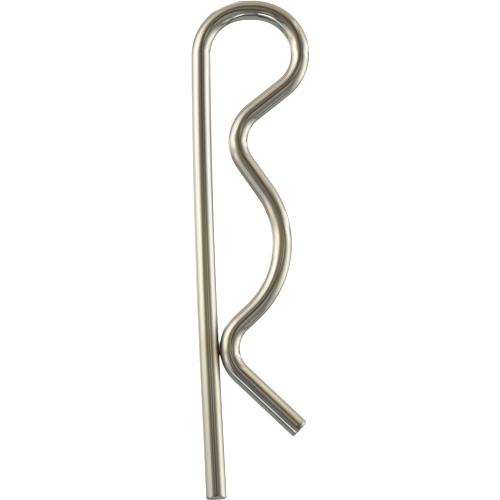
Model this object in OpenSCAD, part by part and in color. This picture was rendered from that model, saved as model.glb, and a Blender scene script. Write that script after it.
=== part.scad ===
// Spring cotter pin (R-clip), one piece of round spring wire, lying flat.
// The leg's tip lies along Y, the eye is at the +Y end and the bent leg on the +X side.
// Sizes in millimetres, Z up, the wire resting on Z = 0.

/* [Wire] */
// Wire diameter
wire_d = 3; // [2:0.1:4]
// Rounding of the cut edge at both ends
edge_r = 0.4; // [0.1:0.05:0.8]

/* [Eye] */
// Inside diameter of the spring eye's two rounds
eye_d = 11.2; // [10:0.1:15]
// Straight wire across the top of the eye, between its rounds
eye_flat = 1; // [0.2:0.1:3]
// Straight wire between the eye and the bowed part of the leg
eye_run = 2; // [1:0.5:6]

/* [Leg] */
// How far the crest pushes the leg aside
crest_push = 0.8; // [0.2:0.05:2]
// From the crest to where the leg runs straight again
tip_start = 4.5; // [4:0.5:8]
// Straight tip of the leg
tip_len = 17.4; // [12:0.1:30]

/* [Neck] */
// Gap between the neck and the leg's line
neck_gap = 2.5; // [1:0.1:4]
// Inside radius of the neck
neck_r = 4.3; // [3:0.1:8]
// Straight wire from the eye to the neck
neck_run = 6.2; // [3:0.1:10]

/* [Shaft bow] */
// Diameter of the shaft the clip holds
shaft_d = 20; // [16:0.5:24]
// Play between the shaft and the bow
shaft_play = 0.4; // [0.1:0.05:1]
// Inside radius of the bow
bow_r = 12.8; // [11:0.1:18]
// Straight wire from the neck to the bow
bow_run = 5.5; // [3:0.1:9]

/* [Crest] */
// Gap between the crest and the leg
crest_gap = 0.1; // [0.05:0.05:0.5]
// Inside radius of the crest
crest_r = 3.7; // [3:0.1:7]
// Straight wire from the bow to the crest
crest_run = 2.3; // [0.5:0.1:4]

/* [Tail] */
// Angle between the tail and the leg's tip
tail_angle = 43.5; // [30:0.5:60]
// Length of the straight tail
tail_len = 11.9; // [6:0.1:16]

/* [Hidden] */
$fn = 72;
bend_steps = 24;
steel = [0.74, 0.72, 0.68];

// Worked wire stands a hair fuller in a bend, and each straight run laps into the bends beside it.
bend_full = 0.01;
joint_lap = 0.05;

// Radii of the wire's centreline
wire_r = wire_d / 2;
eye_rc = eye_d / 2 + wire_r;
neck_rc = neck_r + wire_r;
bow_rc = bow_r + wire_r;
crest_rc = crest_r + wire_r;

// Bend centres across the clip, from the line the leg leaves the eye on
eye_x = eye_rc;
eye_far_x = eye_x + eye_flat;
neck_x = wire_d + neck_gap + neck_rc;
bow_x = shaft_d / 2 + shaft_play + wire_r - bow_rc;
crest_x = crest_push + wire_d + crest_gap + crest_rc;

// Slope of a straight run between two opposite bends, and how far down the clip it leads
function slope(reach, run, offset) = acos(offset / norm([reach, run])) - atan2(run, reach);
function drop(reach, run, angle) = reach * sin(angle) + run * cos(angle);

neck_in = slope(eye_rc + neck_rc, neck_run, neck_x - eye_far_x);
neck_out = slope(neck_rc + bow_rc, bow_run, neck_x - bow_x);
crest_in = slope(bow_rc + crest_rc, crest_run, crest_x - bow_x);
neck_y = -drop(eye_rc + neck_rc, neck_run, neck_in);
bow_y = neck_y - drop(neck_rc + bow_rc, bow_run, neck_out);
crest_y = bow_y - drop(bow_rc + crest_rc, crest_run, crest_in);

// The leg bows just enough to pass the crest, then runs straight to its tip.
crest_depth = -crest_y - eye_run;
leg_bow_r = (crest_depth ^ 2 + crest_push ^ 2) / (2 * crest_push);
leg_turn = asin((crest_depth + tip_start) / leg_bow_r);
tip_from = [leg_bow_r * (1 - cos(leg_turn)), -eye_run - leg_bow_r * sin(leg_turn)];

// A point seen along the tip instead of along the leg at the eye
function along_tip(p) = [
    (p.x - tip_from.x) * cos(leg_turn) + (p.y - tip_from.y) * sin(leg_turn),
    (p.y - tip_from.y) * cos(leg_turn) - (p.x - tip_from.x) * sin(leg_turn)
];

eye = along_tip([eye_x, 0]);
eye_far = along_tip([eye_far_x, 0]);
bow = along_tip([bow_x, bow_y]);
crest = along_tip([crest_x, crest_y]);
tail_end = crest - crest_rc * [cos(tail_angle), sin(tail_angle)]
    + tail_len * [sin(tail_angle), -cos(tail_angle)];

// Extent of the clip, so that it stands centred on the origin
skin = (wire_d + bend_full) / 2;
x_low = min(-skin, eye.x - eye_rc - skin);
x_high = max(eye_far.x + eye_rc + skin, bow.x + bow_rc + skin, tail_end.x + wire_r * cos(tail_angle));
y_low = min(-tip_len, tail_end.y - wire_r * sin(tail_angle));
y_high = eye.y + eye_rc + skin;

// Straight wire along +Y, then whatever follows it
module straight(run) {
    translate([0, -joint_lap, 0]) rotate([-90, 0, 0]) cylinder(d = wire_d, h = run + 2 * joint_lap);
    translate([0, run, 0]) children();
}

// Wire bent in the plane of the clip, to the left for a positive turn, then whatever follows it
module bend(radius, turn) {
    side = sign(turn);
    translate([-side * radius, 0, 0]) {
        mirror([side < 0 ? 1 : 0, 0, 0])
            rotate_extrude(angle = abs(turn), $fn = ceil(bend_steps * 360 / abs(turn)))
                translate([radius, 0]) circle(d = wire_d + bend_full);
        rotate([0, 0, turn]) translate([side * radius, 0, 0]) children();
    }
}

// Straight wire along +Y with a square cut end, its edge rounded over
module cut_end(run) {
    reach = run + joint_lap;
    translate([0, -joint_lap, 0]) rotate([-90, 0, 0]) rotate_extrude() {
        square([wire_r, reach - edge_r]);
        square([wire_r - edge_r, reach]);
        translate([wire_r - edge_r, reach - edge_r]) circle(r = edge_r);
    }
}

module spring_cotter_pin() {
    color(steel) translate([-(x_low + x_high) / 2, -(y_low + y_high) / 2, skin]) {
        rotate([0, 0, 180]) cut_end(tip_len);
        bend(leg_bow_r, -leg_turn)
            straight(eye_run)
            bend(eye_rc, -90)
            straight(eye_flat)
            bend(eye_rc, -90 - neck_in)
            straight(neck_run)
            bend(neck_rc, neck_in + neck_out)
            straight(bow_run)
            bend(bow_rc, -neck_out - crest_in)
            straight(crest_run)
            bend(crest_rc, crest_in + leg_turn + tail_angle)
            cut_end(tail_len);
    }
}

spring_cotter_pin();
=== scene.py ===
"""Looks of a spring cotter pin: one length of drawn spring wire, bent in one plane, lying flat."""

import logging
import math
from dataclasses import dataclass, field
from enum import Enum

import bpy
import numpy as np
from mathutils import Matrix, Vector


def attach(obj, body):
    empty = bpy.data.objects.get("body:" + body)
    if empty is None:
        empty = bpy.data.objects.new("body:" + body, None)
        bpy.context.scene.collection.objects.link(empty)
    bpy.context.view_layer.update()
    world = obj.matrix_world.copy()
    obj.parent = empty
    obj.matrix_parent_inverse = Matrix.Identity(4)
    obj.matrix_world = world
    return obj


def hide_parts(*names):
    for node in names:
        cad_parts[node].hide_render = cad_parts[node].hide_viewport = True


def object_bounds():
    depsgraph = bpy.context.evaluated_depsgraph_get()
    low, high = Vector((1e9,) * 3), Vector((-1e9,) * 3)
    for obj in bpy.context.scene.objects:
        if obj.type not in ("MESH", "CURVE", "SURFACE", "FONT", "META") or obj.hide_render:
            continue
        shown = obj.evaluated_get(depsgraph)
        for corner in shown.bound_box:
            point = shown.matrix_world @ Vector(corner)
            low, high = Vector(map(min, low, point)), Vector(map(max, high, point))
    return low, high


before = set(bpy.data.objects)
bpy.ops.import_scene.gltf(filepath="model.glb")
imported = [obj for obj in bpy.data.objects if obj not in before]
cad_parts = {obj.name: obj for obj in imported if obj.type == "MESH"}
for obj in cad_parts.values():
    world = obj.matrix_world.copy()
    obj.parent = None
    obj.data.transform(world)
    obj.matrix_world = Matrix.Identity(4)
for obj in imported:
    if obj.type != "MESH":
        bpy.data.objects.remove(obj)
CAD_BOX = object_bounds()

LOG = logging.getLogger("spring_cotter_pin")
MM = 0.001
WIRE_MAP = "wire_run"
Colour = tuple[float, float, float]


class Way(Enum):
    """Which way a bend turns, seen from above and going along the wire."""

    LEFT = 1
    RIGHT = -1


class Zone(Enum):
    """Surface of the wire that a face belongs to; the value is its material slot."""

    DRAWN = 0
    SHEARED = 1


class NodeBench:
    """Adds nodes to one node tree and links them."""

    def __init__(self, tree: bpy.types.NodeTree) -> None:
        """Keeps the tree that the nodes go into."""
        self.tree = tree

    def add(self, kind: str, **settings: object) -> bpy.types.Node:
        """Adds a node and sets its properties.

        Args:
            kind: the node's Blender type name.
            settings: properties to set on it.

        Returns:
            The new node.
        """
        node = self.tree.nodes.new(kind)
        for name, value in settings.items():
            setattr(node, name, value)
        return node

    def feed(self, socket: bpy.types.NodeSocket, value: object) -> None:
        """Links an output to a socket, or sets the socket's own value.

        Args:
            socket: the input that takes it.
            value: an output socket, or a plain value.
        """
        if isinstance(value, bpy.types.NodeSocket):
            self.tree.links.new(value, socket)
        else:
            socket.default_value = value

    def math(self, operation: str, *terms: object) -> bpy.types.NodeSocket:
        """Adds a Math node.

        Args:
            operation: the node's operation.
            terms: its inputs, outputs of other nodes or numbers.

        Returns:
            Its result.
        """
        node = self.add("ShaderNodeMath", operation=operation)
        for socket, term in zip(node.inputs, terms):
            self.feed(socket, term)
        return node.outputs[0]

    def ease(self, value: object, low: object, high: object) -> bpy.types.NodeSocket:
        """Goes smoothly from 0 to 1 as a value goes from low to high.

        Args:
            value: the value.
            low: where the result is 0.
            high: where the result is 1.

        Returns:
            The eased result.
        """
        node = self.add("ShaderNodeMapRange", interpolation_type="SMOOTHSTEP")
        self.feed(node.inputs["Value"], value)
        self.feed(node.inputs["From Min"], low)
        self.feed(node.inputs["From Max"], high)
        return node.outputs["Result"]

    def mix(self, factor: object, first: object, second: object) -> bpy.types.NodeSocket:
        """Mixes two colours.

        Args:
            factor: share of the second.
            first: colour at 0.
            second: colour at 1.

        Returns:
            The mixed colour.
        """
        node = self.add("ShaderNodeMix", data_type="RGBA")
        self.feed(node.inputs["Factor"], factor)
        self.feed(node.inputs["A"], first)
        self.feed(node.inputs["B"], second)
        return node.outputs["Result"]

    def noise(self, vector: object, scale: object, detail: float) -> bpy.types.NodeSocket:
        """Adds a noise pattern.

        Args:
            vector: where the pattern is read.
            scale: how fine it is.
            detail: how many finer layers it has.

        Returns:
            Its value, about 0.5 on average.
        """
        node = self.add("ShaderNodeTexNoise")
        self.feed(node.inputs["Vector"], vector)
        self.feed(node.inputs["Scale"], scale)
        node.inputs["Detail"].default_value = detail
        return node.outputs["Fac"]

    def place(self, group: bpy.types.NodeTree, **values: object) -> bpy.types.Node:
        """Places a node group.

        Args:
            group: the group.
            values: its inputs by name, with _ for a space.

        Returns:
            The group node.
        """
        node = self.add("ShaderNodeGroup", node_tree=group)
        for name, value in values.items():
            self.feed(node.inputs[name.replace("_", " ")], value)
        return node


def rgba(colour: Colour) -> tuple[float, float, float, float]:
    """Gives a colour its full alpha."""
    return (*colour, 1.0)


class EffectGroup:
    """A shader node group with named sockets, built once and placed where it is needed."""

    name = ""
    takes: tuple[tuple[str, str], ...] = ()
    gives: tuple[tuple[str, str], ...] = ()

    def tree(self) -> bpy.types.NodeTree:
        """Finds the group, or builds it the first time.

        Returns:
            The group's node tree.
        """
        found = bpy.data.node_groups.get(self.name)
        if found is not None:
            return found
        tree = bpy.data.node_groups.new(self.name, "ShaderNodeTree")
        for in_out, sockets in (("INPUT", self.takes), ("OUTPUT", self.gives)):
            for label, kind in sockets:
                tree.interface.new_socket(label, in_out=in_out, socket_type=f"NodeSocket{kind}")
        bench = NodeBench(tree)
        given = bench.add("NodeGroupInput").outputs
        taken = bench.add("NodeGroupOutput").inputs
        self.fill(bench, given, taken)
        return tree

    def fill(
        self,
        bench: NodeBench,
        given: bpy.types.NodeOutputs,
        taken: bpy.types.NodeInputs,
    ) -> None:
        """Adds the group's own nodes.

        Args:
            bench: bench of the group's tree.
            given: the group's inputs.
            taken: the group's outputs.
        """
        raise NotImplementedError


class Streaks(EffectGroup):
    """Fine parallel lines, as a die or a shear blade leaves them."""

    name = "streaks"
    takes = (("Vector", "Vector"), ("Fineness", "Float"))
    gives = (("Line", "Float"), ("Height", "Float"))
    finer = 3.7
    broad_share = 0.6
    line_span = (0.42, 0.62)

    def fill(
        self,
        bench: NodeBench,
        given: bpy.types.NodeOutputs,
        taken: bpy.types.NodeInputs,
    ) -> None:
        """Lays broad lines and finer ones over each other.

        Args:
            bench: bench of the group's tree.
            given: the group's inputs.
            taken: the group's outputs.
        """
        broad = bench.noise(given["Vector"], given["Fineness"], 2.0)
        finer = bench.math("MULTIPLY", given["Fineness"], self.finer)
        thin = bench.noise(given["Vector"], finer, 1.0)
        both = bench.math(
            "ADD",
            bench.math("MULTIPLY", broad, self.broad_share),
            bench.math("MULTIPLY", thin, 1 - self.broad_share),
        )
        bench.feed(taken["Line"], bench.ease(both, *self.line_span))
        bench.feed(taken["Height"], both)


class HandlingMarks(EffectGroup):
    """Soft smudges and a few hair scratches from handling."""

    name = "handling_marks"
    takes = (("Vector", "Vector"), ("Size", "Float"))
    gives = (("Smudge", "Float"), ("Scratch", "Float"))
    smudge_span = (0.45, 0.7)
    scratch_finer = 2.3
    scratch_width = 0.012
    patch_span = (0.56, 0.66)

    def fill(
        self,
        bench: NodeBench,
        given: bpy.types.NodeOutputs,
        taken: bpy.types.NodeInputs,
    ) -> None:
        """Makes the smudges and the scratches.

        Args:
            bench: bench of the group's tree.
            given: the group's inputs.
            taken: the group's outputs.
        """
        smudge = bench.noise(given["Vector"], given["Size"], 3.0)
        bench.feed(taken["Smudge"], bench.ease(smudge, *self.smudge_span))
        cells = bench.add("ShaderNodeTexVoronoi", feature="DISTANCE_TO_EDGE")
        bench.feed(cells.inputs["Vector"], given["Vector"])
        finer = bench.math("MULTIPLY", given["Size"], self.scratch_finer)
        bench.feed(cells.inputs["Scale"], finer)
        hair = bench.ease(cells.outputs["Distance"], self.scratch_width, 0.0)
        patches = bench.noise(given["Vector"], given["Size"], 1.0)
        patchy = bench.ease(patches, *self.patch_span)
        bench.feed(taken["Scratch"], bench.math("MULTIPLY", hair, patchy))


@dataclass(frozen=True)
class ContactShade:
    """Part of the painted shade and reflection tint where the crest comes to the leg.

    Attributes:
        colour: its painted colour.
        reach: half its size across the clip, along it and upwards, in metres.
        core: share of the reach that is fully painted.
        dullness: how far it hides the metal, from 0 to 1.
        aside: how far its middle lies from the contact, towards the crest, in metres.
    """

    colour: Colour
    reach: tuple[float, float, float]
    core: float
    dullness: float
    aside: float = 0.0

    def mask(self, bench: NodeBench, place: Vector) -> bpy.types.NodeSocket:
        """Masks the painted shade.

        Args:
            bench: bench of the material's tree.
            place: where the crest touches the leg, in metres.

        Returns:
            The mask.
        """
        spot = bench.add("ShaderNodeMapping", vector_type="TEXTURE")
        spot.inputs["Location"].default_value = place + Vector((self.aside, 0.0, 0.0))
        spot.inputs["Scale"].default_value = self.reach
        bench.feed(spot.inputs["Vector"], bench.add("ShaderNodeTexCoord").outputs["Object"])
        far = bench.add("ShaderNodeVectorMath", operation="LENGTH")
        bench.feed(far.inputs[0], spot.outputs[0])
        return bench.ease(far.outputs["Value"], 1.0, self.core)


@dataclass(frozen=True)
class DrawnFinish:
    """Bright drawn spring wire: faint lines along it, light smudges and a few hair scratches.

    Attributes:
        tint: colour of the clean metal.
        shade: colour in the lines and smudges.
        smooth: roughness of the clean metal.
        rough: roughness that lines and marks add.
        dull_rough: roughness that the painted contact shade adds.
        line_rise: height of the drawn lines, in metres.
        contact_shade: painted shade and reflection tint at the contact: tan, grey, a brown halo, a
            dark core.
        line_wear: how far a line takes the metal to its shade.
        smudge_wear: how far a smudge does.
        scratch_wear: how far a scratch does.
        lines_round: how fine the lines are, round the wire.
        lines_stretch: units of their pattern for each millimetre along the wire.
        marks_size: how fine the smudges and scratches are.
        marks_stretch: units of their pattern for each millimetre along the wire.
    """

    tint: Colour = (0.665, 0.64, 0.59)
    shade: Colour = (0.58, 0.553, 0.5)
    smooth: float = 0.045
    rough: float = 0.07
    dull_rough: float = 0.6
    line_rise: float = 2.0e-6
    # Painted shade and reflection tint round the contact: a tan tint and a grey one on the metal,
    # then a dull brown halo and a dark core.
    contact_shade: tuple[ContactShade, ...] = (
        ContactShade((0.55, 0.47, 0.34), (0.0022, 0.0042, 0.0026), 0.3, 0.0, aside=-0.001),
        ContactShade((0.2, 0.19, 0.165), (0.0016, 0.0048, 0.0016), 0.3, 0.15, aside=0.0004),
        ContactShade((0.12, 0.084, 0.048), (0.0022, 0.0075, 0.0015), 0.4, 0.9),
        ContactShade((0.15, 0.075, 0.058), (0.0007, 0.0014, 0.0022), 0.4, 1.0),
    )
    line_wear: float = 0.35
    smudge_wear: float = 0.3
    scratch_wear: float = 0.25
    lines_round: float = 9.0
    lines_stretch: float = 0.012
    marks_size: float = 0.9
    marks_stretch: float = 0.16

    def coordinates(self, bench: NodeBench, stretch: float) -> bpy.types.NodeSocket:
        """Gives seamless coordinates on the wire: round it, and along it.

        Args:
            bench: bench of the material's tree.
            stretch: units along the wire for each millimetre.

        Returns:
            The coordinates.
        """
        wire_map = bench.add("ShaderNodeUVMap", uv_map=WIRE_MAP)
        parts = bench.add("ShaderNodeSeparateXYZ")
        bench.feed(parts.inputs[0], wire_map.outputs[0])
        angle = bench.math("MULTIPLY", parts.outputs["X"], math.tau)
        joined = bench.add("ShaderNodeCombineXYZ")
        bench.feed(joined.inputs["X"], bench.math("COSINE", angle))
        bench.feed(joined.inputs["Y"], bench.math("SINE", angle))
        bench.feed(joined.inputs["Z"], bench.math("MULTIPLY", parts.outputs["Y"], stretch))
        return joined.outputs[0]

    def material(self, contact_place: Vector) -> bpy.types.Material:
        """Builds the material.

        Args:
            contact_place: where the crest touches the leg, in metres.

        Returns:
            The material.
        """
        made = bpy.data.materials.new("drawn_spring_steel")
        made.use_nodes = True
        bench = NodeBench(made.node_tree)
        shader = made.node_tree.nodes["Principled BSDF"]
        lines = bench.place(
            Streaks().tree(),
            Vector=self.coordinates(bench, self.lines_stretch),
            Fineness=self.lines_round,
        )
        marks = bench.place(
            HandlingMarks().tree(),
            Vector=self.coordinates(bench, self.marks_stretch),
            Size=self.marks_size,
        )
        worn = bench.math("MULTIPLY", lines.outputs["Line"], self.line_wear)
        for mark, wear in (("Smudge", self.smudge_wear), ("Scratch", self.scratch_wear)):
            worn = bench.math("ADD", worn, bench.math("MULTIPLY", marks.outputs[mark], wear))
        colour = bench.mix(worn, rgba(self.tint), rgba(self.shade))
        dull = 0.0
        # Paint the contact's shade and tinted reflections over the metal's own colour.
        for painted_shade in self.contact_shade:
            mask = painted_shade.mask(bench, contact_place)
            colour = bench.mix(mask, colour, rgba(painted_shade.colour))
            dull = bench.math("MAXIMUM", dull, bench.math("MULTIPLY", mask, painted_shade.dullness))
        bench.feed(shader.inputs["Base Color"], colour)
        spread = bench.math("MULTIPLY", worn, self.rough)
        film = bench.math("MULTIPLY", dull, self.dull_rough)
        rough = bench.math("ADD", bench.math("ADD", spread, film), self.smooth)
        bench.feed(shader.inputs["Roughness"], rough)
        bench.feed(shader.inputs["Metallic"], bench.math("SUBTRACT", 1.0, dull))
        shader.inputs["Specular IOR Level"].default_value = 0.0
        bump = bench.add("ShaderNodeBump")
        bump.inputs["Strength"].default_value = 1.0
        bump.inputs["Distance"].default_value = self.line_rise
        bench.feed(bump.inputs["Height"], lines.outputs["Height"])
        bench.feed(shader.inputs["Normal"], bump.outputs["Normal"])
        return made


@dataclass(frozen=True)
class ShearedFinish:
    """Sheared end of the wire: bright where the blade rubbed, dull where the metal broke off.

    Attributes:
        rubbed: colour of the part that the blade rubbed.
        broken: colour of the part that broke off.
        rubbed_rough: roughness of the rubbed part.
        broken_rough: roughness of the broken part.
        grain_rise: height of the grain, in metres.
        lines_fine: how fine the blade's lines are.
        lines_squeeze: how fast the lines change upwards, as a share of across.
        line_dull: how dull a line is.
        marks_size: how fine the ragged edge between the two parts is.
        ragged: how far that edge wanders, in metres.
        rubbed_above: height from which the face is rubbed, in metres.
        broken_below: height up to which it is broken, in metres.
    """

    rubbed: Colour = (0.62, 0.6, 0.56)
    broken: Colour = (0.4, 0.385, 0.36)
    rubbed_rough: float = 0.22
    broken_rough: float = 0.48
    grain_rise: float = 1.2e-5
    lines_fine: float = 1900.0
    lines_squeeze: float = 0.12
    line_dull: float = 0.4
    marks_size: float = 420.0
    ragged: float = 0.4 * MM
    rubbed_above: float = 1.9 * MM
    broken_below: float = 1.3 * MM

    def material(self) -> bpy.types.Material:
        """Builds the material.

        Returns:
            The material.
        """
        made = bpy.data.materials.new("sheared_spring_steel")
        made.use_nodes = True
        bench = NodeBench(made.node_tree)
        shader = made.node_tree.nodes["Principled BSDF"]
        where = bench.add("ShaderNodeTexCoord").outputs["Object"]
        squeeze = bench.add("ShaderNodeMapping")
        squeeze.inputs["Scale"].default_value = (1.0, 1.0, self.lines_squeeze)
        bench.feed(squeeze.inputs["Vector"], where)
        lines = bench.place(Streaks().tree(), Vector=squeeze.outputs[0], Fineness=self.lines_fine)
        marks = bench.place(HandlingMarks().tree(), Vector=where, Size=self.marks_size)
        parts = bench.add("ShaderNodeSeparateXYZ")
        bench.feed(parts.inputs[0], where)
        ragged = bench.math("MULTIPLY", marks.outputs["Smudge"], self.ragged)
        height = bench.math("ADD", parts.outputs["Z"], ragged)
        broke = bench.ease(height, self.rubbed_above, self.broken_below)
        lined = bench.math("MULTIPLY", lines.outputs["Line"], self.line_dull)
        dull = bench.math("MAXIMUM", broke, lined)
        colour = bench.mix(dull, rgba(self.rubbed), rgba(self.broken))
        bench.feed(shader.inputs["Base Color"], colour)
        spread = bench.math("MULTIPLY", dull, self.broken_rough - self.rubbed_rough)
        bench.feed(shader.inputs["Roughness"], bench.math("ADD", spread, self.rubbed_rough))
        shader.inputs["Metallic"].default_value = 1.0
        bump = bench.add("ShaderNodeBump")
        bump.inputs["Distance"].default_value = self.grain_rise
        bench.feed(bump.inputs["Height"], lines.outputs["Height"])
        bench.feed(shader.inputs["Normal"], bump.outputs["Normal"])
        return made


@dataclass(frozen=True)
class Stretch:
    """One straight run or round bend of the wire.

    Attributes:
        name: what the stretch is.
        length: length of its centreline, in millimetres.
        radius: radius of its centreline, 0 for a straight run.
        way: which way it turns.
    """

    name: str
    length: float
    radius: float = 0.0
    way: Way = Way.LEFT

    @classmethod
    def bend(cls, name: str, radius: float, degrees: float, way: Way) -> "Stretch":
        """Makes a bend from its angle."""
        return cls(name, radius * math.radians(degrees), radius, way)

    @property
    def turn(self) -> float:
        """Angle that it turns by, in radians, positive to the left."""
        return self.way.value * self.length / self.radius if self.radius else 0.0


@dataclass
class CutEnd:
    """A sheared end: the blade rolls one side of its rim over, and the face breaks off low.

    Attributes:
        small_r: least rounding of the rim, in millimetres.
        rolled_r: most rounding, on the side where the blade came in.
        rim_steps: rings over the rounding.
        face_rings: rings from the rim to the middle of the face.
        break_drop: how far the broken part lies behind the rubbed one.
        rolled_at: angle round the wire of the rolled side, in degrees from the top.
        dull_rim: steps of the rounding, from the face out, that are as dull as the face.
        edge_height: height of the edge between the rubbed and the broken part, from the axis.
        edge_waves: rise, fineness and start of each wave in that edge.
        edge_soft: width of the slope at that edge.
        grain: share by which the broken part's depth varies.
        hold_rim: power that keeps the relief off the rim.
    """

    small_r: float = 0.2
    rolled_r: float = 0.42
    rim_steps: int = 8
    face_rings: int = 9
    break_drop: float = 0.09
    rolled_at: float = 0.0
    dull_rim: int = 6
    edge_height: float = -0.1
    edge_waves: tuple[tuple[float, float, float], ...] = ((0.16, 3.1, 0.0), (0.07, 7.3, 1.0))
    edge_soft: float = 0.35
    grain: float = 0.25
    hold_rim: int = 6

    @property
    def sheared_rings(self) -> int:
        """Number of ring gaps with the sheared finish: the face, and the dull part of the rim."""
        return self.face_rings - 1 + self.dull_rim

    def rings(self, radius: float, round_it: np.ndarray) -> list[tuple[np.ndarray, np.ndarray]]:
        """Gives the rings from the wire's wall to the middle of the face.

        Args:
            radius: the wire's radius, in millimetres.
            round_it: angles round the wire, from the top.

        Returns:
            Radius, and place along the axis from the end plane, of each ring.
        """
        side = 0.5 + 0.5 * np.cos(round_it - math.radians(self.rolled_at))
        rim = self.small_r + (self.rolled_r - self.small_r) * side**2
        made = []
        for step in range(self.rim_steps + 1):
            angle = 0.5 * math.pi * step / self.rim_steps
            made.append((radius - rim * (1 - math.cos(angle)), rim * (math.sin(angle) - 1)))
        for ring in range(1, self.face_rings):
            share = 1 - ring / self.face_rings
            across = (radius - rim) * share
            made.append((across, -self.relief(across, round_it, share)))
        return made

    def relief(self, across: np.ndarray, round_it: np.ndarray, share: float) -> np.ndarray:
        """Gives how far the face lies behind the end plane.

        Args:
            across: distance from the axis.
            round_it: angles round the wire, from the top.
            share: 1 at the rim and 0 at the middle.

        Returns:
            The depth, in millimetres.
        """
        height = across * np.cos(round_it)
        sideways = across * np.sin(round_it)
        edge = np.full_like(height, self.edge_height)
        for rise, fineness, start in self.edge_waves:
            edge += rise * np.sin(fineness * sideways + start)
        broken = np.clip((edge - height) / self.edge_soft + 0.5, 0, 1)
        broken = broken * broken * (3 - 2 * broken)
        grain = self.grain * np.sin(9.0 * sideways + 2.0 * height) * np.sin(8.0 * height - 1.0)
        return self.break_drop * broken * (1 + grain) * (1 - share**self.hold_rim)


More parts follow.
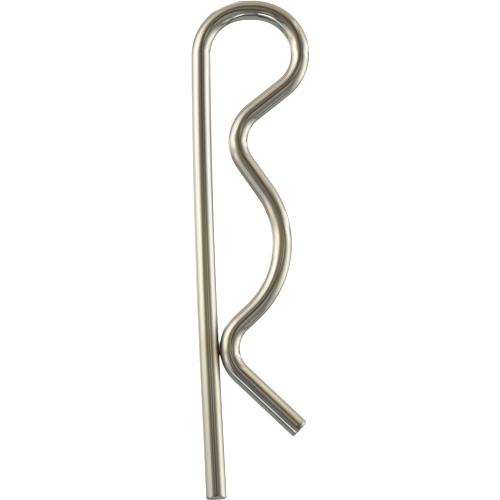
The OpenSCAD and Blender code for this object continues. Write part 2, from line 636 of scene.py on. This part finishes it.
@dataclass
class BentWire:
    """The whole clip: one wire from the tip of the leg, round the eye, to the end of the tail.

    The sizes are those of the part, in millimetres. Near the contact the sides of the crest and
    the leg swell and close the gap that the part has there: a filler that the painted contact
    shade darkens.

    Attributes:
        wire_d: wire diameter.
        eye_d: inside diameter of the eye's two rounds.
        eye_flat: straight wire between them.
        eye_run: straight wire between the eye and the bowed part of the leg.
        crest_push: how far the crest pushes the leg aside.
        tip_start: from the crest to where the leg runs straight again.
        tip_len: straight tip of the leg.
        neck_gap: gap between the neck and the leg's line.
        neck_r: inside radius of the neck.
        neck_run: straight wire from the eye to the neck.
        shaft_d: diameter of the shaft that the clip holds.
        shaft_play: play between the shaft and the bow.
        bow_r: inside radius of the bow.
        bow_run: straight wire from the neck to the bow.
        crest_gap: gap between the crest and the leg.
        crest_r: inside radius of the crest.
        crest_run: straight wire from the bow to the crest.
        tail_angle: degrees between the tail and the leg's tip.
        tail_len: length of the straight tail.
        sides: points round the wire.
        longest_step: most between two rings.
        leg_step: most between two rings of the leg, which the gap filler needs finer.
        bend_step: degrees between two rings of a bend, at most.
        nearly_straight: radius from which a bend doesn't flatten the wire.
        bend_flatten: share by which a bend as tight as the wire's radius flattens it.
        ease_rings: rings over which the flattening comes in.
        tip_end: the tip's cut end.
        tail_end: the tail's cut end.
        drawn: finish of the wire.
        sheared: finish of its ends.
        moved: move from the tip's end to the part's own place.
        gap_fill_reach: how far the gap filler runs along the wire from the contact.
        gap_fill_core: how far it fills the gap.
        gap_fill_narrow: how narrow it is up and down the wire's side.
        gap_fill_clear: room left in its middle.
    """

    wire_d: float = 3.0
    eye_d: float = 11.2
    eye_flat: float = 1.0
    eye_run: float = 2.0
    crest_push: float = 0.8
    tip_start: float = 4.5
    tip_len: float = 17.4
    neck_gap: float = 2.5
    neck_r: float = 4.3
    neck_run: float = 6.2
    shaft_d: float = 20.0
    shaft_play: float = 0.4
    bow_r: float = 12.8
    bow_run: float = 5.5
    crest_gap: float = 0.1
    crest_r: float = 3.7
    crest_run: float = 2.3
    tail_angle: float = 43.5
    tail_len: float = 11.9
    sides: int = 72
    longest_step: float = 0.8
    leg_step: float = 0.3
    bend_step: float = 2.2
    nearly_straight: float = 100.0
    bend_flatten: float = 0.02
    ease_rings: int = 7
    gap_fill_reach: float = 1.3
    gap_fill_core: float = 0.75
    gap_fill_narrow: float = 10.0
    gap_fill_clear: float = 0.002
    tip_end: CutEnd = field(default_factory=lambda: CutEnd(small_r=0.34, rolled_r=0.46))
    tail_end: CutEnd = field(
        default_factory=lambda: CutEnd(small_r=0.14, rolled_r=0.5, rolled_at=-90.0)
    )
    drawn: DrawnFinish = DrawnFinish()
    sheared: ShearedFinish = ShearedFinish()
    moved: np.ndarray = field(init=False, default_factory=lambda: np.zeros(3))

    @property
    def wire_r(self) -> float:
        """Radius of the wire."""
        return self.wire_d / 2

    @staticmethod
    def slope(reach: float, run: float, offset: float) -> float:
        """Gives the slope of a run between two opposite bends.

        Args:
            reach: sum of the two bends' radii.
            run: length of the straight run.
            offset: how far apart the bends' centres are, across the clip.

        Returns:
            The slope from across the clip to the run's normal, in degrees.
        """
        return math.degrees(math.acos(offset / math.hypot(reach, run)) - math.atan2(run, reach))

    @staticmethod
    def drop(reach: float, run: float, slope: float) -> float:
        """Gives how far one bend's centre lies below the other's.

        Args:
            reach: sum of the two bends' radii.
            run: length of the straight run.
            slope: slope of the run, in degrees.

        Returns:
            The distance along the clip.
        """
        angle = math.radians(slope)
        return reach * math.sin(angle) + run * math.cos(angle)

    def stretches(self) -> list[Stretch]:
        """Works out the runs and bends from the sizes.

        Returns:
            The stretches, from the tip's cut end to the tail's.
        """
        inner = (self.eye_d / 2, self.neck_r, self.bow_r, self.crest_r)
        eye, neck, bow, crest = (radius + self.wire_r for radius in inner)
        neck_x = self.wire_d + self.neck_gap + neck
        bow_x = self.shaft_d / 2 + self.shaft_play + self.wire_r - bow
        crest_x = self.crest_push + self.wire_d + self.crest_gap + crest
        neck_in = self.slope(eye + neck, self.neck_run, neck_x - eye - self.eye_flat)
        neck_out = self.slope(neck + bow, self.bow_run, neck_x - bow_x)
        crest_in = self.slope(bow + crest, self.crest_run, crest_x - bow_x)
        depth = (
            self.drop(eye + neck, self.neck_run, neck_in)
            + self.drop(neck + bow, self.bow_run, neck_out)
            + self.drop(bow + crest, self.crest_run, crest_in)
            - self.eye_run
        )
        leg_bow = (depth**2 + self.crest_push**2) / (2 * self.crest_push)
        leg_turn = math.degrees(math.asin((depth + self.tip_start) / leg_bow))
        return [
            Stretch("tip", self.tip_len),
            Stretch.bend("leg", leg_bow, leg_turn, Way.RIGHT),
            Stretch("eye run", self.eye_run),
            Stretch.bend("eye", eye, 90, Way.RIGHT),
            Stretch("eye flat", self.eye_flat),
            Stretch.bend("eye far side", eye, 90 + neck_in, Way.RIGHT),
            Stretch("neck run", self.neck_run),
            Stretch.bend("neck", neck, neck_in + neck_out, Way.LEFT),
            Stretch("bow run", self.bow_run),
            Stretch.bend("bow", bow, neck_out + crest_in, Way.RIGHT),
            Stretch("crest run", self.crest_run),
            Stretch.bend("crest", crest, crest_in + leg_turn + self.tail_angle, Way.LEFT),
            Stretch("tail", self.tail_len),
        ]

    def stations(self) -> tuple[np.ndarray, np.ndarray, np.ndarray, np.ndarray]:
        """Walks the centreline.

        Returns:
            Places in the clip's plane, headings in radians, lengths run, and curvature.
        """
        place, heading, run = np.zeros(2), math.pi / 2, 0.0
        places, headings, runs, curves = [place], [heading], [0.0], [0.0]
        for part in self.stretches():
            longest = self.leg_step if part.name == "leg" else self.longest_step
            count = max(
                math.ceil(abs(math.degrees(part.turn)) / self.bend_step),
                math.ceil(part.length / longest),
            )
            curve = part.turn / part.length
            for step in range(1, count + 1):
                angle = heading + part.turn * step / count
                if part.radius:
                    ahead = math.sin(angle) - math.sin(heading)
                    aside = math.cos(heading) - math.cos(angle)
                    here = place + np.array([ahead, aside]) / curve
                else:
                    along = part.length * step / count
                    here = place + along * np.array([math.cos(heading), math.sin(heading)])
                places.append(here)
                headings.append(angle)
                runs.append(run + part.length * step / count)
                curves.append(curve if part.radius < self.nearly_straight else 0.0)
            place, heading, run = places[-1], headings[-1], runs[-1]
        return np.array(places), np.array(headings), np.array(runs), self.eased(np.array(curves))

    def eased(self, curves: np.ndarray) -> np.ndarray:
        """Eases the curvature at the joints, so that the flattening comes in gently."""
        padded = np.pad(curves, self.ease_rings // 2, mode="edge")
        return np.convolve(padded, np.full(self.ease_rings, 1 / self.ease_rings), mode="valid")

    def ring(
        self,
        place: np.ndarray,
        heading: float,
        across: np.ndarray,
        along: np.ndarray,
    ) -> np.ndarray:
        """Lays one ring of points round the wire.

        Args:
            place: the ring's middle in the clip's plane.
            heading: the wire's heading there.
            across: offsets in the plane and upwards, two to a point.
            along: offset along the wire of each point.

        Returns:
            The points, in millimetres.
        """
        forward = np.array([math.cos(heading), math.sin(heading)])
        right = np.array([math.sin(heading), -math.cos(heading)])
        flat = place + across[:, :1] * right + along[:, None] * forward
        return np.column_stack([flat, across[:, 1]])

    def contact(self, places: np.ndarray, headings: np.ndarray) -> np.ndarray:
        """Finds where the crest comes to the leg.

        Args:
            places: places of the centreline in the clip's plane.
            headings: its headings, in radians.

        Returns:
            The middle of the gap, in the clip's plane.
        """
        crest = np.flatnonzero(headings < -math.pi / 2)[-1]
        return places[crest] - [self.wire_r + self.crest_gap / 2, 0.0]

    def gap_fill(self, away: np.ndarray, heading: float, rightness: np.ndarray) -> np.ndarray:
        """Gives how far the gap filler, darkened by painted shade, stands out from the wire's
        side.

        Args:
            away: way from the wire's middle to the contact.
            heading: the wire's heading there.
            rightness: how far to the right each point of the ring is, from -1 to 1.

        Returns:
            The rise of each point, to the right, in millimetres.
        """
        along = away @ [math.cos(heading), math.sin(heading)]
        side = math.copysign(1.0, away @ [math.sin(heading), -math.cos(heading)])
        if math.hypot(*away) > self.wire_r + self.gap_fill_reach or abs(along) > self.gap_fill_reach:
            return np.zeros(len(rightness))
        outer = self.crest_r + self.wire_d
        gap = self.crest_gap + outer - math.sqrt(outer**2 - along**2)
        share = min(1.0, (self.gap_fill_reach - abs(along)) / (self.gap_fill_reach - self.gap_fill_core))
        rise = (gap / 2 - self.gap_fill_clear) * share**2 * (3 - 2 * share)
        return side * rise * np.clip(side * rightness, 0, 1) ** self.gap_fill_narrow

    def rings(self) -> tuple[np.ndarray, np.ndarray, list[Zone]]:
        """Builds every ring, from the middle of one end face to the middle of the other.

        Returns:
            Points by ring, length run of each ring, and the zone between each ring and the next.
        """
        places, headings, runs, curves = self.stations()
        contact = self.contact(places, headings)
        round_it = math.pi + np.arange(self.sides) * math.tau / self.sides
        unit = np.column_stack([np.sin(round_it), np.cos(round_it)])
        rows, lengths = [], []
        for radius, along in reversed(self.tip_end.rings(self.wire_r, round_it)):
            rows.append(self.ring(places[0], headings[0], unit * radius[:, None], -along))
            lengths.append(0.0)
        keep_in, keep_out = self.tip_end.rolled_r, runs[-1] - self.tail_end.rolled_r
        still = np.zeros(self.sides)
        for place, heading, run, curve in zip(places, headings, runs, curves):
            if keep_in < run < keep_out:
                squash = 1 - self.bend_flatten * abs(curve) * self.wire_r
                across = unit * self.wire_r * [squash, 1.0]
                # Swell the sides into the gap at the contact, as a filler that the painted shade
                # darkens.
                across[:, 0] += self.gap_fill(contact - place, heading, unit[:, 0])
                rows.append(self.ring(place, heading, across, still))
                lengths.append(run)
        for radius, along in self.tail_end.rings(self.wire_r, round_it):
            rows.append(self.ring(places[-1], headings[-1], unit * radius[:, None], along))
            lengths.append(runs[-1])
        first, last = self.tip_end.sheared_rings, self.tail_end.sheared_rings
        between = len(rows) - 1 - first - last
        zones = [Zone.SHEARED] * first + [Zone.DRAWN] * between + [Zone.SHEARED] * last
        return np.array(rows), np.array(lengths), zones

    def build(self) -> bpy.types.Object:
        """Builds the wire's mesh, in the part's own place.

        Returns:
            The new object.
        """
        rows, lengths, zones = self.rings()
        count, sides = rows.shape[:2]
        middles = np.stack([rows[0].mean(0), rows[-1].mean(0)])
        points = np.vstack([rows.reshape(-1, 3), middles])
        self.moved = self.settle(points)
        points = points + self.moved
        faces, slots, corners = [], [], []
        for ring in range(count - 1):
            for side in range(sides):
                after = (side + 1) % sides
                faces.append(
                    (
                        ring * sides + side,
                        ring * sides + after,
                        (ring + 1) * sides + after,
                        (ring + 1) * sides + side,
                    )
                )
                slots.append(zones[ring].value)
                low, high = lengths[ring], lengths[ring + 1]
                left, right = side / sides, (side + 1) / sides
                corners += [(left, low), (right, low), (right, high), (left, high)]
        ends = ((count * sides, 0, 0.0), (count * sides + 1, count - 1, lengths[-1]))
        for middle, ring, length in ends:
            for side in range(sides):
                pair = [ring * sides + side, ring * sides + (side + 1) % sides]
                pair = pair[::-1] if ring == 0 else pair
                faces.append((*pair, middle))
                slots.append(Zone.SHEARED.value)
                corners += [(side / sides, length)] * 3
        mesh = bpy.data.meshes.new("bent_spring_wire")
        mesh.from_pydata((points * MM).tolist(), [], faces)
        mesh.polygons.foreach_set("material_index", slots)
        mesh.polygons.foreach_set("use_smooth", [True] * len(faces))
        layer = mesh.uv_layers.new(name=WIRE_MAP)
        layer.data.foreach_set("uv", np.array(corners, dtype=np.float32).ravel())
        mesh.validate()
        mesh.update()
        piece = bpy.data.objects.new("bent_spring_wire", mesh)
        bpy.context.scene.collection.objects.link(piece)
        return piece

    def settle(self, points: np.ndarray) -> np.ndarray:
        """Gives the move that takes the wire to where the part has it, in the middle of its box.

        Args:
            points: points of the wire, in millimetres.

        Returns:
            The move, in millimetres.
        """
        low, high = (np.array(corner) / MM for corner in CAD_BOX)
        return (low + high) / 2 - (points.min(0) + points.max(0)) / 2

    def touch(self) -> Vector:
        """Finds where the crest touches the leg.

        Returns:
            The place, in metres.
        """
        places, headings, _, _ = self.stations()
        place = np.append(self.contact(places, headings), 0.0)
        return Vector((place + self.moved) * MM)

    def dress(self, piece: bpy.types.Object) -> None:
        """Gives the wire its finishes and says what it stands for.

        Args:
            piece: the wire's object.
        """
        piece.data.materials.append(self.drawn.material(self.touch()))
        piece.data.materials.append(self.sheared.material())
        piece.visible_glossy = False
        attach(piece, "root")
        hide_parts("spring_cotter_pin")


@dataclass
class Floor:
    """Plain white floor.

    Attributes:
        side: side of the floor, in metres.
        paleness: share of light that it gives back.
        glow: light that it adds to what the camera sees, so that its shade stays faint.
    """

    side: float = 6.0
    paleness: float = 0.9
    glow: float = 1.0

    def build(self) -> bpy.types.Object:
        """Builds and dresses the floor.

        Returns:
            The floor.
        """
        half = self.side / 2
        mesh = bpy.data.meshes.new("floor")
        corners = [(-half, -half, 0), (half, -half, 0), (half, half, 0), (-half, half, 0)]
        mesh.from_pydata(corners, [], [(0, 1, 2, 3)])
        piece = bpy.data.objects.new("floor", mesh)
        bpy.context.scene.collection.objects.link(piece)
        made = bpy.data.materials.new("pale_floor")
        made.use_nodes = True
        bench = NodeBench(made.node_tree)
        shader = made.node_tree.nodes["Principled BSDF"]
        shader.inputs["Base Color"].default_value = rgba((self.paleness,) * 3)
        shader.inputs["Roughness"].default_value = 1.0
        shader.inputs["Specular IOR Level"].default_value = 0.0
        shader.inputs["Emission Color"].default_value = rgba((1.0, 1.0, 1.0))
        seen = bench.add("ShaderNodeLightPath").outputs["Is Camera Ray"]
        bench.feed(shader.inputs["Emission Strength"], bench.math("MULTIPLY", seen, self.glow))
        mesh.materials.append(made)
        piece.visible_glossy = False
        return piece


class ZenithChart(EffectGroup):
    """Turns a direction into degrees from overhead: in all, to the right, and away."""

    name = "zenith_chart"
    takes = (("Direction", "Vector"),)
    gives = (("Off", "Float"), ("Right", "Float"), ("Away", "Float"))

    def fill(
        self,
        bench: NodeBench,
        given: bpy.types.NodeOutputs,
        taken: bpy.types.NodeInputs,
    ) -> None:
        """Works out the angles.

        Args:
            bench: bench of the group's tree.
            given: the group's inputs.
            taken: the group's outputs.
        """
        parts = bench.add("ShaderNodeSeparateXYZ")
        bench.feed(parts.inputs[0], given["Direction"])
        flat = bench.math(
            "SQRT",
            bench.math(
                "ADD",
                bench.math("POWER", bench.math("ABSOLUTE", parts.outputs["X"]), 2.0),
                bench.math("POWER", bench.math("ABSOLUTE", parts.outputs["Y"]), 2.0),
            ),
        )
        angle = bench.math("DEGREES", bench.math("ARCTAN2", flat, parts.outputs["Z"]))
        scale = bench.math("DIVIDE", angle, bench.math("MAXIMUM", flat, 1e-5))
        bench.feed(taken["Off"], angle)
        bench.feed(taken["Right"], bench.math("MULTIPLY", parts.outputs["X"], scale))
        bench.feed(taken["Away"], bench.math("MULTIPLY", parts.outputs["Y"], scale))


class SoftCard(EffectGroup):
    """Mask of a soft-edged card in the surroundings."""

    name = "soft_card"
    takes = tuple(
        (label, "Float")
        for label in (
            "Right",
            "Away",
            "Centre Right",
            "Centre Away",
            "Half Width",
            "Half Height",
            "Turn",
            "Soft Width",
            "Soft Height",
        )
    )
    gives = (("Mask", "Float"),)

    def fill(
        self,
        bench: NodeBench,
        given: bpy.types.NodeOutputs,
        taken: bpy.types.NodeInputs,
    ) -> None:
        """Measures how far inside the card's edges a direction is.

        Args:
            bench: bench of the group's tree.
            given: the group's inputs.
            taken: the group's outputs.
        """
        right = bench.math("SUBTRACT", given["Right"], given["Centre Right"])
        away = bench.math("SUBTRACT", given["Away"], given["Centre Away"])
        turn = bench.math("RADIANS", given["Turn"])
        cosine, sine = bench.math("COSINE", turn), bench.math("SINE", turn)
        wide = bench.math(
            "ADD",
            bench.math("MULTIPLY", right, cosine),
            bench.math("MULTIPLY", away, sine),
        )
        high = bench.math(
            "SUBTRACT",
            bench.math("MULTIPLY", away, cosine),
            bench.math("MULTIPLY", right, sine),
        )
        masks = []
        for reach, side in ((wide, "Width"), (high, "Height")):
            inside = bench.math("SUBTRACT", given[f"Half {side}"], bench.math("ABSOLUTE", reach))
            edge = bench.math("MULTIPLY", given[f"Soft {side}"], 0.5)
            masks.append(bench.ease(inside, bench.math("MULTIPLY", edge, -1.0), edge))
        bench.feed(taken["Mask"], bench.math("MULTIPLY", *masks))


@dataclass(frozen=True)
class Card:
    """A soft light or a shade in the studio, placed in degrees from overhead.

    Attributes:
        name: what it is.
        right: degrees of its centre to the right.
        away: degrees of its centre away from the camera.
        half_width: half its width.
        half_height: half its height.
        turn: degrees that it is turned by.
        soft_width: width of its soft sides.
        soft_height: width of its soft top and foot.
        colour: its light.
    """

    name: str
    right: float
    away: float
    half_width: float
    half_height: float
    turn: float
    soft_width: float
    soft_height: float
    colour: Colour


@dataclass
class Studio:
    """What the bright wire mirrors: a dim room with pale windows to its sides.

    The fades and cards weren't set one by one by hand. A fitting program worked their numbers
    out, so that the wire's reflections come close to those in the photo.

    Attributes:
        fades: degrees away from the camera, and the room's light there.
        cards: lights and shades in the room, each over the ones before it.
        reach: degrees away at which the fade ends.
        floor_from: degrees from overhead where the shade straight below begins.
        floor_soft: degrees over which it comes in.
        floor_light: its light.
    """

    fades: tuple[tuple[float, Colour], ...] = (
        (-120.0, (0.381, 0.383, 0.327)),
        (-97.0, (0.384, 0.405, 0.348)),
        (-72.0, (0.32, 0.352, 0.349)),
        (-42.0, (0.27, 0.293, 0.282)),
        (-12.0, (0.463, 0.423, 0.357)),
        (8.0, (0.26, 0.248, 0.159)),
        (15.0, (0.111, 0.078, 0.06)),
        (22.0, (0.106, 0.114, 0.111)),
        (48.0, (0.368, 0.305, 0.218)),
        (73.0, (0.557, 0.538, 0.454)),
        (98.0, (0.615, 0.573, 0.489)),
    )
    cards: tuple[Card, ...] = (
        Card("right side", 91.9, -36.8, 21.7, 67.3, -34.8, 13, 62.7, (0.848, 0.859, 0.803)),
        Card("right near haze", 67.6, -21.2, 31.4, 32.7, 3.6, 13, 14.1, (0.233, 0.229, 0.192)),
        Card("left near shade", -47.5, -31.5, 7.1, 34.8, -31, 20.3, 13, (0.06, 0.09, 0.114)),
        Card("dark corridor", -18.7, -45.8, 13.9, 58.1, -18, 22.1, 13, (0.104, 0.1, 0.109)),
        Card("overhead lamp", 2, -7.6, 29, 7.8, 47.5, 13, 13, (3.955, 3.604, 2.515)),
        Card("left wall", -103.1, 21, 68.2, 22.7, -21.5, 17.4, 13, (0.663, 0.643, 0.571)),
        Card("left far", -116.8, 31.2, 71, 3, 19.1, 26, 27, (1.255, 1.369, 1.402)),
        Card("far warm glow", 8.3, 29.8, 18.5, 9.3, -15.8, 13, 46.8, (1.216, 0.982, 0.516)),
        Card("near shade", 2.8, -9.1, 14.7, 32.4, -51.9, 13, 29.4, (0.113, 0.105, 0.1)),
        Card("overhead shade", 9.4, 26.4, 16.1, 15, -9.2, 17.8, 13, (0.121, 0.109, 0.1)),
        Card("far left strip", -67, 117.6, 181.1, 3.1, 43.8, 23.2, 17.3, (3.547, 3.757, 4.0)),
        Card("left window", -51.9, 33.4, 31.6, 3, 22.7, 53.8, 51, (3.117, 3.069, 2.802)),
        Card("right window", 85.6, 9.3, 18.1, 50.6, 19.8, 62.2, 61.3, (1.718, 1.702, 1.499)),
        Card("right far glow", 85, 21, 28.9, 3, 3.2, 65, 13, (1.759, 1.842, 1.857)),
        Card("near left lamp", -33, -50.5, 22.3, 2.1, -29.1, 4, 4, (3.743, 4.0, 4.0)),
        Card("near right lamp", 21.2, -75.8, 3.5, 17.2, 69.4, 4, 20.5, (3.83, 4.0, 3.636)),
        Card("small left lamp", -48.5, -48, 33.1, 6.2, -42.6, 40.4, 4, (1.009, 1.119, 1.133)),
        Card("right near shade", 74.6, -67.1, 12.8, 13.6, -17.1, 13, 13, (0.2, 0.221, 0.199)),
        Card("near low shade", 15.3, -86.4, 81.1, 10.3, -8, 33.3, 20.9, (0.068, 0.084, 0.06)),
        Card("left glint", -65, -5.4, 3.5, 7, 26.1, 70, 22.2, (2.017, 1.798, 1.534)),
        Card("left window edge", -34.9, 26.6, 18.6, 3, 4, 13, 13, (1.997, 1.928, 1.775)),
        Card("far left glow", -26, 118.6, 16.2, 12.5, 17.1, 13, 70, (2.044, 2.148, 2.071)),
        Card("right glow", 94.2, 36.1, 32.3, 8.2, 48.9, 27.9, 13, (1.483, 1.504, 1.454)),
        Card("left window sill", -51.7, 14.6, 20.2, 4.9, 0.6, 46.7, 13, (1.696, 1.626, 1.363)),
        Card("far right glow", 46.6, 52.2, 17.9, 3, 45.8, 34.3, 9, (1.204, 1.141, 0.972)),
    )
    reach: float = 160.0
    floor_from: float = 165.0
    floor_soft: float = 7.8
    floor_light: Colour = (0.02, 0.02, 0.02)

    def build(self) -> None:
        """Builds the world that lights the clip; the camera itself sees plain white."""
        world = bpy.data.worlds.new("studio")
        bpy.context.scene.world = world
        world.use_nodes = True
        bench = NodeBench(world.node_tree)
        room = world.node_tree.nodes["Background"]
        chart = bench.place(
            ZenithChart().tree(),
            Direction=bench.add("ShaderNodeTexCoord").outputs["Generated"],
        )
        right, away = chart.outputs["Right"], chart.outputs["Away"]
        light = self.fade(bench, away)
        for card in self.cards:
            mask = bench.place(
                SoftCard().tree(),
                Right=right,
                Away=away,
                Centre_Right=card.right,
                Centre_Away=card.away,
                Half_Width=card.half_width,
                Half_Height=card.half_height,
                Turn=card.turn,
                Soft_Width=card.soft_width,
                Soft_Height=card.soft_height,
            )
            mask.label = card.name
            light = bench.mix(mask.outputs["Mask"], light, rgba(card.colour))
        floor_full = self.floor_from + self.floor_soft
        under = bench.ease(chart.outputs["Off"], self.floor_from, floor_full)
        bench.feed(room.inputs["Color"], bench.mix(under, light, rgba(self.floor_light)))
        plain = bench.add("ShaderNodeBackground")
        plain.inputs["Color"].default_value = rgba((1.0, 1.0, 1.0))
        choose = bench.add("ShaderNodeMixShader")
        bench.feed(choose.inputs["Fac"], bench.add("ShaderNodeLightPath").outputs["Is Camera Ray"])
        bench.feed(choose.inputs[1], room.outputs[0])
        bench.feed(choose.inputs[2], plain.outputs[0])
        bench.feed(world.node_tree.nodes["World Output"].inputs["Surface"], choose.outputs[0])

    def fade(self, bench: NodeBench, away: bpy.types.NodeSocket) -> bpy.types.NodeSocket:
        """Shades the room from the camera's side to the far side.

        Args:
            bench: bench of the world's tree.
            away: degrees away from the camera.

        Returns:
            The room's light.
        """
        ramp = bench.add("ShaderNodeValToRGB")
        span = bench.math("DIVIDE", bench.math("ADD", away, self.reach), 2 * self.reach)
        bench.feed(ramp.inputs["Fac"], span)
        stops = ramp.color_ramp.elements
        while len(stops) < len(self.fades):
            stops.new(0.5)
        for stop, (degrees, colour) in zip(stops, self.fades):
            stop.position = (degrees + self.reach) / (2 * self.reach)
            stop.color = rgba(colour)
        return ramp.outputs["Color"]


@dataclass
class PhotoCamera:
    """A long lens that looks down at the clip, leaning back from overhead.

    Attributes:
        aim: point that it looks at, in millimetres.
        lean: degrees that it leans back from overhead.
        turn: degrees that the picture's upright is turned from the clip's, clockwise.
        distance: distance from the aim, in millimetres.
        lens: focal length, in millimetres.
        sensor: width of the sensor, in millimetres.
        clip: nearest and farthest that it sees, in metres.
    """

    aim: tuple[float, float, float] = (-1.222, -1.476, 1.5)
    lean: float = 12.0
    turn: float = 3.209
    distance: float = 218.8
    lens: float = 105.55
    sensor: float = 36.0
    clip: tuple[float, float] = (0.01, 100.0)

    def build(self) -> bpy.types.Object:
        """Builds the camera and makes it the scene's own.

        Returns:
            The camera.
        """
        data = bpy.data.cameras.new("photo_camera")
        data.lens, data.sensor_width = self.lens, self.sensor
        data.clip_start, data.clip_end = self.clip
        camera = bpy.data.objects.new("photo_camera", data)
        bpy.context.scene.collection.objects.link(camera)
        turn, lean = math.radians(self.turn), math.radians(self.lean)
        ahead = Vector((math.sin(turn), math.cos(turn), 0.0))
        back = -math.sin(lean) * ahead + math.cos(lean) * Vector((0.0, 0.0, 1.0))
        right = Vector((math.cos(turn), -math.sin(turn), 0.0))
        up = back.cross(right)
        stand = Matrix.Translation((Vector(self.aim) + self.distance * back) * MM)
        camera.matrix_world = stand @ Matrix((right, up, back)).transposed().to_4x4()
        bpy.context.scene.camera = camera
        return camera


def main() -> None:
    """Builds the clip, the floor, the light and the camera."""
    logging.basicConfig(level=logging.INFO, format="%(name)s: %(message)s")
    wire = BentWire()
    piece = wire.build()
    wire.dress(piece)
    LOG.info("%s: %d faces", piece.name, len(piece.data.polygons))
    LOG.info("%s laid", Floor().build().name)
    Studio().build()
    LOG.info("%s set", PhotoCamera().build().name)
    bpy.context.scene.view_settings.view_transform = "Standard"


if __name__ == "__main__":
    main()
